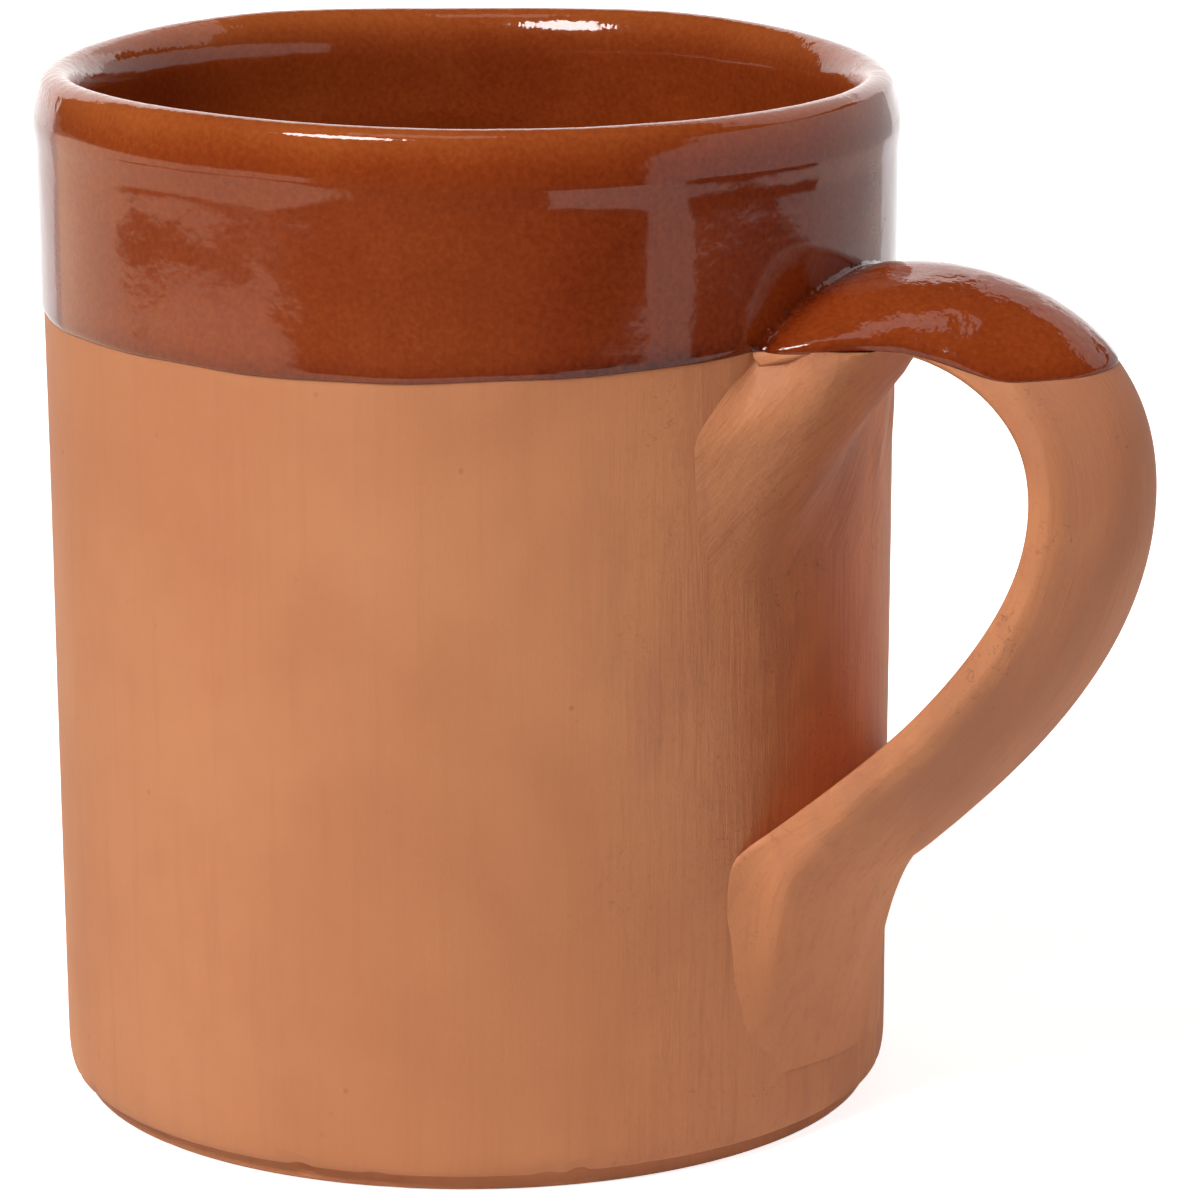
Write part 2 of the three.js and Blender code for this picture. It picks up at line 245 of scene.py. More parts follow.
def hand_thrown(points):
    """Moves points of the true form to where the hand-made mug has them."""
    z = points[..., 2]
    across, away = points @ VIEW_RIGHT, points @ VIEW_AWAY
    around = np.arctan2(away, across)
    high = z / BODY_HEIGHT
    swell = 1 + OVAL / BASE_RADIUS * high * np.sin(2 * around)
    saddle = RIM_SADDLE[0] * np.cos(2 * around) + RIM_SADDLE[1] * np.sin(2 * around)
    wave = RIM_WAVE[0] * np.cos(3 * around) + RIM_WAVE[1] * np.sin(3 * around)
    moved = points.copy()
    moved[..., 0] *= swell
    moved[..., 1] *= swell
    moved -= (LEAN * high)[..., None] * VIEW_RIGHT
    dip = RIM_DIP * np.exp(-(((around - math.pi / 2) / RIM_DIP_WIDTH) ** 2))
    rim_lift = RIM_RISE * away - RIM_FALL * across + saddle + wave - dip
    moved[..., 2] += rim_lift * ease(RIM_WARP_START, BODY_HEIGHT, z)
    return moved


def make_piece(name, points, faces, lay=None, pool=None):
    """Smooth-shaded mesh object from millimetre points of the true form."""
    mesh = bpy.data.meshes.new(name)
    mesh.from_pydata((hand_thrown(points) * MM).tolist(), [], faces)
    if lay is not None:
        mesh.attributes.new("lay", "FLOAT_VECTOR", "POINT").data.foreach_set("vector", lay.ravel())
    if pool is not None:
        mesh.attributes.new("pool", "FLOAT", "POINT").data.foreach_set("value", pool.ravel())
    tidy = bmesh.new()
    tidy.from_mesh(mesh)
    bmesh.ops.remove_doubles(tidy, verts=tidy.verts, dist=1e-7)
    bmesh.ops.recalc_face_normals(tidy, faces=tidy.faces)
    tidy.to_mesh(mesh)
    tidy.free()
    mesh.shade_smooth()
    mesh.set_sharp_from_angle(angle=SHARP_ANGLE)
    piece = bpy.data.objects.new(name, mesh)
    bpy.context.scene.collection.objects.link(piece)
    return piece


def grid_faces(rows, columns, wrap_rows=False, wrap_columns=True):
    """Quads over a grid of points that is stored row by row."""
    index = np.arange(rows * columns).reshape(rows, columns)
    if wrap_rows:
        index = np.vstack([index, index[:1]])
    if wrap_columns:
        index = np.hstack([index, index[:, :1]])
    corners = [index[:-1, :-1], index[:-1, 1:], index[1:, 1:], index[1:, :-1]]
    return np.stack(corners, axis=-1).reshape(-1, 4).tolist()


def grid_normals(grid):
    """Unit normals of a (rows, columns, 3) grid whose columns wrap round."""
    along = np.gradient(grid, axis=0)
    round_ = np.roll(grid, -1, axis=1) - np.roll(grid, 1, axis=1)
    normals = np.cross(round_, along)
    return normals / np.maximum(np.linalg.norm(normals, axis=-1, keepdims=True), 1e-9)


def profile_normals(profile):
    """Unit normals of a (radius, height) profile that runs with the outside on its right."""
    way = np.gradient(profile, axis=0)
    normals = np.stack([way[:, 1], -way[:, 0]], axis=1)
    return normals / np.linalg.norm(normals, axis=1, keepdims=True)


def arc(centre, radii, start, end, count):
    """Points of an elliptic arc, angles in degrees."""
    angles = np.radians(np.linspace(start, end, count))
    return np.stack([centre[0] + radii[0] * np.cos(angles), centre[1] + radii[1] * np.sin(angles)], axis=1)


def lip_face(count):
    """Outer half of the lip from the wall to the crest: how far in and how far below the crest it lies."""
    places, turns = np.array(LIP_TURN).T
    steps = np.linspace(0, places[-1], 4 * count + 1)
    tilt = np.radians(np.interp(steps, places, turns))
    walk = np.diff(steps)
    inwards = np.concatenate([[0], np.cumsum(walk * np.sin((tilt[1:] + tilt[:-1]) / 2))])
    upwards = np.concatenate([[0], np.cumsum(walk * np.cos((tilt[1:] + tilt[:-1]) / 2))])
    inwards *= WALL_THICKNESS / 2 / inwards[-1]
    return inwards[::4], (upwards[-1] - upwards)[::4]


LIP_OUTER = float(lip_face(10)[1][0])


def lip_arcs(outer_count, inner_count):
    """Outer and inner half of the rounded lip, each from low on its face to the crest or back down."""
    half = WALL_THICKNESS / 2
    inwards, below = lip_face(outer_count)
    heights = BODY_HEIGHT - below
    outer = np.stack([outside(heights) - inwards, heights], axis=1)
    crest_radius = outer[-1, 0]
    inner = arc((crest_radius, BODY_HEIGHT - LIP_INNER), (half, LIP_INNER), 90, 180, inner_count)
    return outer, inner[1:]


def inner_wall(count):
    """Inside of the cup from under the lip down to the axis."""
    top = np.array([float(outside(BODY_HEIGHT)) - WALL_THICKNESS, BODY_HEIGHT - LIP_INNER])
    low_height = FLOOR_THICKNESS + INNER_ROUNDING
    low = np.array([wall_radius(low_height) - WALL_THICKNESS, low_height])
    shares = np.linspace(0, 1, count)[1:, None]
    wall = top + (low - top) * shares
    corner = arc((low[0] - INNER_ROUNDING, low[1]), (INNER_ROUNDING, INNER_ROUNDING), 0, -90, 22)[1:]
    floor = np.stack([np.linspace(corner[-1][0], 0.0, 30)[1:], np.full(29, FLOOR_THICKNESS)], axis=1)
    return np.vstack([wall, corner, floor])


def spun(flat, angles):
    """Radius and height pairs carried round the mug's axis."""
    grid = np.empty((len(flat), len(angles), 3))
    grid[..., 0] = flat[:, :1] * np.cos(angles)
    grid[..., 1] = flat[:, :1] * np.sin(angles)
    grid[..., 2] = flat[:, 1:]
    return grid


def wall_lay(grid):
    """Streak directions of the wall: round the mug across the streaks, up along them."""
    around = np.arctan2(grid[..., 1], grid[..., 0]) * BASE_RADIUS
    radius = np.hypot(grid[..., 0], grid[..., 1])
    return np.stack([around, grid[..., 2] - radius, radius], axis=-1)


def thrown_unevenness(grid):
    """Height of the finger rings and soft swells that throwing leaves in the clay."""
    rings = 0.006 * np.sin(grid[..., 2] * 1.15 + 0.5 * waves(grid, 70.0, 3))
    return rings + 0.035 * waves(grid * np.array([1.0, 1.0, 0.6]), 34.0, 5)


def make_thrown_body():
    """Wall, floor, lip and turned foot."""
    underside = np.stack([np.linspace(0.0, FOOT_RADIUS - FOOT_BEVEL, 36), np.zeros(36)], axis=1)
    bevel = arc((FOOT_RADIUS - FOOT_BEVEL, FOOT_BEVEL), (FOOT_BEVEL, FOOT_BEVEL), -90, 0, 6)[1:]
    step = np.stack([np.full(5, FOOT_RADIUS), np.linspace(FOOT_BEVEL, FOOT_STEP, 6)[1:]], axis=1)
    corner = arc((BASE_RADIUS - CORNER_INSET, WALL_FOOT), (CORNER_INSET, CORNER_RISE), -90, 0, 24)
    heights = np.linspace(WALL_FOOT, BODY_HEIGHT - LIP_OUTER, 170)[1:-1]
    wall = np.stack([outside(heights), heights], axis=1)
    outer, inner = lip_arcs(30, 20)
    profile = np.vstack([underside, bevel, step, corner, wall, outer, inner, inner_wall(60)])
    angles = np.linspace(0, 2 * math.pi, 300, endpoint=False)
    grid = spun(profile, angles)
    normals = spun(profile_normals(profile), angles)
    height = grid[..., 2]
    standing = ease(0.0, 3.0, height)
    grid = grid + normals * (thrown_unevenness(grid) * standing)[..., None]
    chips = np.clip(waves(grid, 4.0, 11) - 1.1, 0, 1) * np.exp(-(((height - FOOT_STEP) / 1.2) ** 2))
    grid = grid - normals * (0.25 * chips)[..., None]
    grid[..., 2] = np.maximum(grid[..., 2], 0)
    rows, columns = grid.shape[:2]
    return make_piece("clay_body", grid.reshape(-1, 3), grid_faces(rows, columns), lay=wall_lay(grid))


def bezier(points, t):
    """Points and directions of a cubic curve in the (radius, height) plane."""
    a, b, c, d = (np.asarray(point) for point in points)
    t = t[:, None]
    place = a * (1 - t) ** 3 + 3 * b * t * (1 - t) ** 2 + 3 * c * t * t * (1 - t) + d * t ** 3
    way = (b - a) * (1 - t) ** 2 + 2 * (c - b) * t * (1 - t) + (d - c) * t * t
    return place, way / np.linalg.norm(way, axis=1, keepdims=True)


def through(knots, place):
    """Smooth value through equally spaced knots, at place 0 to 1 along them."""
    knots = np.asarray(knots)
    spot = np.clip(place, 0, 1) * (len(knots) - 1)
    cell = np.minimum(spot.astype(int), len(knots) - 2)
    t = spot - cell
    at = [knots[np.clip(cell + step, 0, len(knots) - 1)] for step in (-1, 0, 1, 2)]
    slope_in = (at[2] - at[0]) / 2
    slope_out = (at[3] - at[1]) / 2
    cubic = 2 * at[1] - 2 * at[2] + slope_in + slope_out
    square = -3 * at[1] + 3 * at[2] - 2 * slope_in - slope_out
    return cubic * t ** 3 + square * t ** 2 + slope_in * t + at[1]


def strap_path(runs):
    """Centre line of the handle: run counts 0 to 3 from the upper root, below 0 it goes on into the wall."""
    upper = np.array([wall_radius(UPPER_ROOT_HEIGHT), UPPER_ROOT_HEIGHT])
    upper_way = np.array([math.cos(UPPER_ROOT_RISE), math.sin(UPPER_ROOT_RISE)])
    bow = np.array([upper[0] + BOW_REACH, UPPER_ROOT_HEIGHT - BOW_DROP])
    lower = np.array([wall_radius(LOWER_ROOT_HEIGHT) + LOWER_ROOT_STANDOFF, LOWER_ROOT_HEIGHT])
    lower_way = np.array([-math.sin(ARM_SLOPE), -math.cos(ARM_SLOPE)])
    tip = np.array([wall_radius(TAIL_TIP_HEIGHT) - TAIL_SINK, TAIL_TIP_HEIGHT])
    up = np.array([0.0, 1.0])
    curves = (
        (upper, upper + upper_way * SHOULDER_PULL, bow + up * BOW_PULL_UP, bow),
        (bow, bow - up * BOW_PULL_DOWN, lower - lower_way * ARM_PULL, lower),
        (lower, lower + lower_way * TAIL_PULL, tip + up * TAIL_TIP_PULL, tip),
    )
    places = np.empty((len(runs), 2))
    ways = np.empty((len(runs), 2))
    for number, curve in enumerate(curves):
        mine = (np.floor(np.clip(runs, 0, 2.999999)) == number)
        places[mine], ways[mine] = bezier(curve, np.clip(runs[mine] - number, 0, 1))
    before = runs < 0
    places[before] = upper + upper_way * (runs[before] * ROOT_EMBED)[:, None]
    ways[before] = upper_way
    return places, ways


def strap_grid(runs, sides):
    """Handle surface as a grid of section rings, with the strap's streak directions."""
    places, ways = strap_path(runs)
    share = runs / 3
    half_width = through(STRAP_WIDTHS, share)[:, None] / 2
    crown = through(STRAP_CROWNS, share)[:, None]
    half_edge = through(STRAP_EDGES, share)[:, None] / 2
    hug = ease(HUG_START, HUG_END, runs)[:, None]
    angles = np.linspace(0, 2 * math.pi, sides, endpoint=False)
    across = np.sign(np.cos(angles)) * np.abs(np.cos(angles)) ** FACE_SQUARENESS
    edge = half_edge * np.abs(np.sin(angles)) ** EDGE_SQUARENESS
    bulge = 1 - across * across
    sideways = half_width * across
    twist = TAIL_TWIST * (ease(TWIST_START, TWIST_END, runs) * ease(3.0, 2.5, runs))[:, None]
    twist = twist * ease(-TWIST_SOFTNESS, TWIST_SOFTNESS, np.sin(angles)) * sideways
    lift = np.where(np.sin(angles) >= 0, edge + crown * bulge, INNER_HOLLOW * bulge - edge) - twist
    drop = BASE_RADIUS - np.sqrt(BASE_RADIUS ** 2 - sideways ** 2)
    grid = np.empty((len(runs), sides, 3))
    grid[..., 0] = places[:, :1] - lift * ways[:, 1:] - hug * drop
    grid[..., 1] = sideways
    grid[..., 2] = places[:, 1:] + lift * ways[:, :1]
    walked = np.concatenate([[0], np.cumsum(np.linalg.norm(np.diff(places, axis=0), axis=1))])
    lay = np.stack([sideways, np.broadcast_to(walked[:, None], sideways.shape), lift], axis=-1)
    return grid, lay


def off_wall(points):
    """Distance of points from the outer wall, measured straight out from the axis."""
    return np.hypot(points[..., 0], points[..., 1]) - outside(points[..., 2])


def worked_strap(runs, sides):
    """Strap with a soft fillet where it meets the wall and the unevenness of pulling it by hand."""
    grid, lay = strap_grid(runs, sides)
    normals = grid_normals(grid)
    outward = grid * np.array([1.0, 1.0, 0.0])
    outward /= np.linalg.norm(outward, axis=-1, keepdims=True)
    fillet = ROOT_FILLET + (TAIL_FILLET - ROOT_FILLET) * ease(*FILLET_CHANGE, runs)[:, None]
    gap = np.clip(off_wall(grid) / fillet, 0, 1)
    grow = fillet * (1 - np.sqrt(np.clip(1 - (1 - gap) ** 2, 0, 1)))
    along_wall = normals - outward * (normals * outward).sum(axis=-1, keepdims=True)
    grid = grid + along_wall * grow[..., None]
    fine_pull = 0.10 * waves(lay * np.array([1.0, 0.16, 1.0]), 7.0, 21)
    pulled = fine_pull + 0.07 * waves(lay * np.array([1.0, 0.5, 1.0]), 13.0, 22)
    free = ease(0.0, 3.0, off_wall(grid))
    grid = grid + normals * (pulled * free)[..., None]
    rubbed = (ease(*RUBBING_STARTS, runs) * ease(*RUBBING_STOPS, runs))[1:-1, None, None]
    for _ in range(TAIL_RUBBING):
        grid[1:-1] += rubbed * ((grid[:-2] + grid[2:]) / 4 - grid[1:-1] / 2)
    tucked = ease(*TUCK_DEPTHS, lay[..., 2]) * ease(*TUCK_RUNS, runs)[:, None]
    grid[..., 2] += EDGE_TUCK * tucked * ease(*TUCK_HALF_WIDTHS, np.abs(lay[..., 0]))
    radius = np.hypot(grid[..., 0], grid[..., 1])
    sunk = np.maximum(radius, outside(grid[..., 2]) - ROOT_SINK)
    grid[..., :2] *= (sunk / radius)[..., None]
    return grid, lay


def make_pulled_handle():
    """Strap handle from its flared upper root to the thumbed-down tail."""
    grid, lay = worked_strap(STRAP_RUNS, STRAP_SIDES)
    rows, columns = grid.shape[:2]
    faces = grid_faces(rows, columns)
    faces.append(list(range(columns)))
    faces.append(list(range((rows - 1) * columns, rows * columns))[::-1])
    return make_piece("strap_handle", grid.reshape(-1, 3), faces, lay=lay)


def make_joint_coil():
    """Soft clay worked from the strap's underside down onto the wall, as a thick apron with soft flanks."""
    side, step = np.meshgrid(np.linspace(-1, 1, 181), np.linspace(0, 1, 91), indexing="ij")
    half_width = APRON_HALF_TOP + (APRON_HALF_FOOT - APRON_HALF_TOP) * ease(0.0, APRON_SPREAD, step)
    arc_length = side * half_width
    flank = ease(1.0, APRON_FLANK, np.abs(side))
    runs = np.linspace(0, 0.5, 120)
    shoulder, _ = strap_path(runs)
    root = shoulder[0, 0]
    strap_half = through(STRAP_WIDTHS, runs / 3) / 2
    under_strap = np.interp(-np.abs(arc_length[:, :1]), -strap_half, shoulder[:, 0] - root)
    under_strap = np.minimum(under_strap, APRON_DEPTH)
    drag_way = np.stack([arc_length - APRON_HEIGHT * step, APRON_HEIGHT * step + arc_length], axis=-1)
    fine_drag = 0.012 * waves(drag_way * np.array([0.05, 1.0]), 1.3, 31)
    drag = fine_drag + 0.05 * waves(drag_way * np.array([0.4, 1.0]), 7.0, 32)
    fade = (1 - step) ** APRON_FADE
    leaving = ease(0.0, APRON_SPREAD, step)
    slant = APRON_SLANT * np.clip(step - APRON_SLANT_START, 0, 1)
    near = 1 - APRON_THIN * ease(APRON_THIN_START, APRON_THIN_END, arc_length + slant)
    stand = ((1 - leaving) * under_strap + leaving * APRON_THICK * flank) * fade * near
    rubbed = ease(0.0, 0.2, step)[1:-1]
    for _ in range(APRON_RUBBING):
        stand[1:-1] += rubbed * ((stand[:-2] + stand[2:]) / 4 - stand[1:-1] / 2)
    stand = stand + drag * ease(0.0, 0.15, step) * flank * ease(1.0, 0.8, step) - APRON_SINK
    top = np.interp(root + np.clip(stand[:, :1], 0, None), shoulder[:, 0], shoulder[:, 1])
    level = top - (top - UPPER_ROOT_HEIGHT + APRON_HEIGHT) * step
    radius = outside(level) + stand
    angle = arc_length / root
    front = np.stack([radius * np.cos(angle), radius * np.sin(angle), level], axis=-1)
    behind = outside(level) - 10 * APRON_SINK
    back = np.stack([behind * np.cos(angle), behind * np.sin(angle), level], axis=-1)
    points = np.concatenate([front.reshape(-1, 3), back.reshape(-1, 3)])
    rows, columns = front.shape[:2]
    faces = grid_faces(rows, columns, wrap_columns=False)
    offset = rows * columns
    faces += [[offset + corner for corner in reversed(face)] for face in faces]
    index = np.arange(offset).reshape(rows, columns)
    border = np.concatenate([index[0], index[1:, -1], index[-1, -2::-1], index[-2:0:-1, 0]])
    for here, there in zip(border, np.roll(border, -1)):
        faces.append([int(here), int(there), int(there) + offset, int(here) + offset])
    lay = np.stack([drag_way[..., 1], drag_way[..., 0], radius], axis=-1)
    lay = np.concatenate([lay.reshape(-1, 3)] * 2)
    return make_piece("joint_coil", points, faces, lay=lay)


def coat(name, grid, normals, thickness, pool):
    """Closed skin over a turned grid: its face stands off by a thickness and its back sits in the clay."""
    face = grid + normals * thickness[..., None]
    back = (grid - normals * GLAZE_SEAT)[::-1]
    both = np.concatenate([face, back])
    rows, columns = both.shape[:2]
    depths_and_shades = np.concatenate([pool, pool[::-1]])
    points = both.reshape(-1, 3)
    faces = grid_faces(rows, columns, wrap_rows=True)
    return make_piece(name, points, faces, lay=wall_lay(both), pool=depths_and_shades)


def rounded_edge(distance, width):
    """Share of the full thickness at a distance from a coat's rounded edge."""
    return np.sqrt(np.clip(1 - (1 - np.clip(distance / width, 0, 1)) ** 2, 0, 1))


def glaze_unevenness(grid):
    """Share by which the glaze is thicker or thinner from place to place."""
    return 1 + 0.05 * waves(grid, 14.0, 41) + 0.015 * waves(grid, 4.0, 42)


def glazed_lip():
    """Profile and normals from the wall's top over the lip to the axis, and the row where the coats meet."""
    outer, inner = lip_arcs(48, 60)
    profile = np.vstack([outer, inner, inner_wall(70)])
    return profile, profile_normals(profile), len(outer) + 10


def glaze_pool(grid, uneven):
    """How deep the glaze looks: thin on the lip's crest, pooled on the cup's floor."""
    thin = 0.35 * ease(BODY_HEIGHT - 4, BODY_HEIGHT, grid[..., 2])
    inside = np.hypot(grid[..., 0], grid[..., 1]) < BASE_RADIUS - 2
    return 0.5 + 0.35 * (uneven - 1) - thin + inside * 0.3 * ease(30.0, 6.0, grid[..., 2])


def make_band_glaze():
    """Glaze from the dip line up the outer wall and over the lip's crest."""
    angles = np.linspace(0, 2 * math.pi, GLAZE_COLUMNS, endpoint=False)
    x, y = wall_radius(DIP_HEIGHT) * np.cos(angles), wall_radius(DIP_HEIGHT) * np.sin(angles)
    low = dip_line(x, y)
    top = BODY_HEIGHT - LIP_OUTER
    near_edge = np.concatenate([np.linspace(0, GLAZE_EDGE, 9), np.linspace(GLAZE_EDGE, 3, 6)[1:]])
    above = np.linspace(0, 1, 60)[1:-1]
    heights = np.concatenate([
        low[None, :] + near_edge[:, None],
        low[None, :] + 3 + (top - low[None, :] - 3) * above[:, None],
    ])
    wall = np.stack([outside(heights) * np.cos(angles), outside(heights) * np.sin(angles), heights], axis=-1)
    slope = (outside(heights + 0.05) - outside(heights - 0.05)) / 0.1
    wall_normals = np.stack([np.cos(angles) + 0 * slope, np.sin(angles) + 0 * slope, -slope], axis=-1)
    wall_normals /= np.linalg.norm(wall_normals, axis=-1, keepdims=True)
    profile, profile_ways, seam = glazed_lip()
    grid = np.concatenate([wall, spun(profile[:seam], angles)])
    normals = np.concatenate([wall_normals, spun(profile_ways[:seam], angles)])
    edge = np.concatenate([heights - low, np.full((seam, GLAZE_COLUMNS), BODY_HEIGHT)])
    uneven = glaze_unevenness(grid)
    thickness = GLAZE * rounded_edge(edge, GLAZE_EDGE) * uneven - GLAZE_BITE
    pool = glaze_pool(grid, uneven) + 0.25 * np.exp(-((edge / 1.6) ** 2))
    # Painted shade: the band's glaze is drawn darker towards the handle side, which is turned away from the key
    # light.
    pool = pool + 0.2 * ease(15.0, 36.0, grid[..., 0])
    return coat("band_glaze_coat", grid, normals, thickness, pool)


def make_liner_glaze():
    """Glaze inside the cup, from where the band's coat ends just inside the crest."""
    angles = np.linspace(0, 2 * math.pi, GLAZE_COLUMNS, endpoint=False)
    profile, profile_ways, seam = glazed_lip()
    grid = spun(profile[seam - 1:], angles)
    normals = spun(profile_ways[seam - 1:], angles)
    height = grid[..., 2]
    rings = 0.10 * np.sin(height * 1.05 + 0.8 * waves(grid, 60.0, 45))
    rings = rings * ease(12.0, 30.0, height) * ease(BODY_HEIGHT - 3, BODY_HEIGHT - 14, height)
    uneven = glaze_unevenness(grid)
    near_axis = ease(4.0, 1.0, np.hypot(grid[..., 0], grid[..., 1]))
    thickness = GLAZE * (uneven + (1 - uneven) * near_axis) - GLAZE_BITE + rings
    return coat("liner_glaze_coat", grid, normals, thickness, glaze_pool(grid, uneven))


def make_handle_glaze():
    """Glaze over the top of the handle, cut at the dip line with a rounded edge."""
    grid, _ = worked_strap(STRAP_RUNS[STRAP_RUNS < HANDLE_GLAZE_END], STRAP_SIDES)
    rows, columns = grid.shape[:2]
    points = grid.reshape(-1, 3)
    above = points[:, 2] - dip_line(points[:, 0], points[:, 1])
    sheet = bmesh.new()
    corners = [sheet.verts.new((x, y, h)) for (x, y, _), h in zip(points, above)]
    for face in grid_faces(rows, columns):
        if max(above[corner] for corner in face) > -0.2:
            sheet.faces.new([corners[corner] for corner in face])
    for level in EDGE_LEVELS:
        everything = sheet.verts[:] + sheet.edges[:] + sheet.faces[:]
        bmesh.ops.bisect_plane(
            sheet, geom=everything, dist=1e-5,
            plane_co=(0, 0, level), plane_no=(0, 0, 1), clear_inner=level == 0.0,
        )
    bmesh.ops.delete(sheet, geom=[vert for vert in sheet.verts if not vert.link_faces], context="VERTS")
    sheet.verts.index_update()
    flat = np.array([vert.co[:] for vert in sheet.verts])
    solid = flat.copy()
    solid[:, 2] = flat[:, 2] + dip_line(flat[:, 0], flat[:, 1])
    for vert, place in zip(sheet.verts, solid):
        vert.co = place
    sheet.normal_update()
    normals = np.array([vert.normal[:] for vert in sheet.verts])
    faces = [[vert.index for vert in face.verts] for face in sheet.faces]
    border = [[vert.index for vert in edge.verts] for edge in sheet.edges if len(edge.link_faces) == 1]
    sheet.free()
    uneven = glaze_unevenness(solid)
    thickness = GLAZE * rounded_edge(flat[:, 2], GLAZE_EDGE) * uneven - GLAZE_BITE
    face_points = solid + normals * thickness[:, None]
    back_points = solid - normals * GLAZE_SEAT
    count = len(solid)
    faces = faces + [[count + corner for corner in reversed(face)] for face in faces]
    faces += [[a, b, b + count, a + count] for a, b in border]
    crease = np.exp(-((np.clip(off_wall(solid), 0, None) / 2.2) ** 2))
    pool = 0.45 + 0.35 * (uneven - 1) + 0.45 * crease + 0.2 * np.exp(-((flat[:, 2] / 1.2) ** 2))
    both = np.concatenate([face_points, back_points])
    depths_and_shades = np.concatenate([pool, pool])
    return make_piece("handle_glaze_coat", both, faces, lay=wall_lay(both), pool=depths_and_shades)


class Value:
    """Socket of a finish's nodes that takes part in Python expressions."""

    def __init__(self, finish, socket):
        self.finish = finish
        self.socket = socket

    def __add__(self, other):
        return self.finish.math("ADD", self, other)

    __radd__ = __add__

    def __sub__(self, other):
        return self.finish.math("SUBTRACT", self, other)

    def __rsub__(self, other):
        return self.finish.math("SUBTRACT", other, self)

    def __mul__(self, other):
        return self.finish.math("MULTIPLY", self, other)


class Finish:
    """Node tree of a material or of the world, filled in node by node."""

    def __init__(self, owner):
        owner.use_nodes = True
        self.tree = owner.node_tree
        self.tree.nodes.clear()

    def node(self, kind, settings=None, values=None, out=0):
        """Adds a node, sets its settings, then sets or links its sockets, and returns one output."""
        made = self.tree.nodes.new(kind)
        for name, setting in (settings or {}).items():
            if name == "stops":
                ramp = made.color_ramp.elements
                while len(ramp) < len(setting):
                    ramp.new(1.0)
                for element, (place, colour) in zip(ramp, setting):
                    element.position = place
                    element.color = (*colour, 1.0)
            else:
                setattr(made, name, setting)
        for name, value in (values or {}).items():
            if isinstance(value, Value):
                self.tree.links.new(value.socket, made.inputs[name])
            else:
                made.inputs[name].default_value = value
        return Value(self, made.outputs[out]) if made.outputs else None

    def math(self, operation, first, second):
        return self.node("ShaderNodeMath", {"operation": operation}, {0: first, 1: second})

    def mix(self, share, first, second):
        """Colour that goes from first to second as share goes from 0 to 1."""
        settings = {"data_type": "RGBA", "clamp_factor": True}
        return self.node("ShaderNodeMix", settings, {0: share, 6: first, 7: second}, out=2)

    def step(self, value, low, high):
        """Smooth step from 0 at low to 1 at high."""
        settings = {"interpolation_type": "SMOOTHSTEP"}
        return self.node("ShaderNodeMapRange", settings, {"Value": value, "From Min": low, "From Max": high})

    def noise(self, vector, scale, detail=3.0, roughness=0.5, swirl=0.0):
        values = {"Vector": vector, "Scale": scale, "Detail": detail, "Roughness": roughness}
        values["Distortion"] = swirl
        return self.node("ShaderNodeTexNoise", None, values)

    def stretched(self, vector, scale):
        """Vector with its parts scaled one by one."""
        return self.node("ShaderNodeVectorMath", {"operation": "MULTIPLY"}, {0: vector, 1: scale})

    def part(self, vector, axis):
        """One part of a vector."""
        return self.node("ShaderNodeSeparateXYZ", None, {0: vector}, out=axis)

    def place(self):
        return self.node("ShaderNodeTexCoord", out="Object")

    def lay(self):
        return self.node("ShaderNodeAttribute", {"attribute_name": "lay"}, out="Vector")

    def pool(self):
        return self.node("ShaderNodeAttribute", {"attribute_name": "pool"}, out="Fac")

    def bump(self, height, strength, distance):
        return self.node("ShaderNodeBump", None, {"Height": height, "Strength": strength, "Distance": distance})

    def surface(self, values):
        shader = self.node("ShaderNodeBsdfPrincipled", None, values)
        self.node("ShaderNodeOutputMaterial", None, {"Surface": shader})


def rgb(red, green, blue):
    return (red, green, blue, 1.0)


